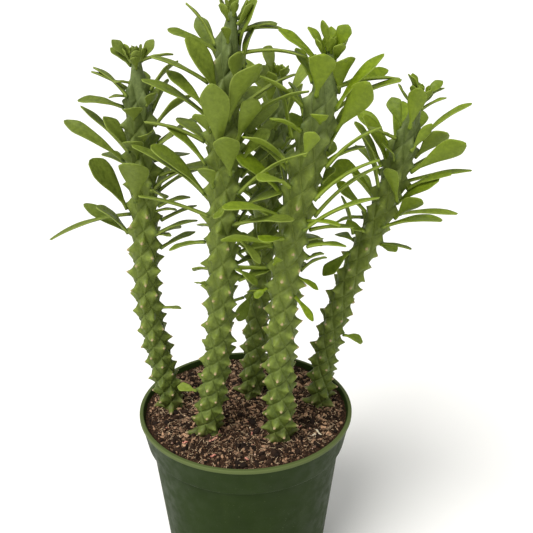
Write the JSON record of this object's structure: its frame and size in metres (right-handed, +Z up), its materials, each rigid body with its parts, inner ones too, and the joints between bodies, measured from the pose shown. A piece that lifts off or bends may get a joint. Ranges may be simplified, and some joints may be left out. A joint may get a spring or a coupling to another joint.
{
  "type": "potted euphorbia",
  "caption": "Succulent plant with upright knobbly stems and spoon-shaped leaves near their tops, rooted in soil in a round green plastic nursery pot with a collared rim.",
  "frame": {"origin": "centre of the pot's flat underside, on the surface it stands on", "axes": "+Z up along the pot's axis; +X to the plant's right and +Y to its back, seen from the front"},
  "size_m": [0.2854, 0.1682, 0.4337],
  "materials": {
    "pot_plastic": "satin",
    "soil": "matte",
    "stem_skin": "matte",
    "leaf_skin": "satin"
  },
  "bodies": {
    "root": {"back_leaf_01": "leaf_skin", "back_leaf_02": "leaf_skin", "back_leaf_03": "leaf_skin", "back_leaf_04": "leaf_skin", "back_stem": "stem_skin", "centre_left_leaf_01": "leaf_skin", "centre_left_leaf_02": "leaf_skin", "centre_left_leaf_03": "leaf_skin", "centre_left_leaf_04": "leaf_skin", "centre_left_leaf_05": "leaf_skin", "centre_left_leaf_06": "leaf_skin", "centre_left_leaf_07": "leaf_skin", "centre_left_leaf_08": "leaf_skin", "centre_left_leaf_09": "leaf_skin", "centre_left_leaf_10": "leaf_skin", "centre_left_leaf_11": "leaf_skin", "centre_left_leaf_12": "leaf_skin", "centre_left_leaf_13": "leaf_skin", "centre_left_stem": "stem_skin", "centre_right_leaf_01": "leaf_skin", "centre_right_leaf_02": "leaf_skin", "centre_right_leaf_03": "leaf_skin", "centre_right_leaf_04": "leaf_skin", "centre_right_leaf_05": "leaf_skin", "centre_right_leaf_06": "leaf_skin", "centre_right_leaf_07": "leaf_skin", "centre_right_leaf_08": "leaf_skin", "centre_right_leaf_09": "leaf_skin", "centre_right_leaf_10": "leaf_skin", "centre_right_stem": "stem_skin", "left_leaf_01": "leaf_skin", "left_leaf_02": "leaf_skin", "left_leaf_03": "leaf_skin", "left_leaf_04": "leaf_skin", "left_leaf_05": "leaf_skin", "left_leaf_06": "leaf_skin", "left_leaf_07": "leaf_skin", "left_leaf_08": "leaf_skin", "left_leaf_09": "leaf_skin", "left_leaf_10": "leaf_skin", "left_leaf_11": "leaf_skin", "left_stem": "stem_skin", "pot": "pot_plastic", "potting_soil": "soil", "right_leaf_01": "leaf_skin", "right_leaf_02": "leaf_skin", "right_leaf_03": "leaf_skin", "right_leaf_04": "leaf_skin", "right_leaf_05": "leaf_skin", "right_leaf_06": "leaf_skin", "right_leaf_07": "leaf_skin", "right_leaf_08": "leaf_skin", "right_leaf_09": "leaf_skin", "right_leaf_10": "leaf_skin", "right_leaf_11": "leaf_skin", "right_leaf_12": "leaf_skin", "right_stem": "stem_skin"}
  },
  "joints": []
}
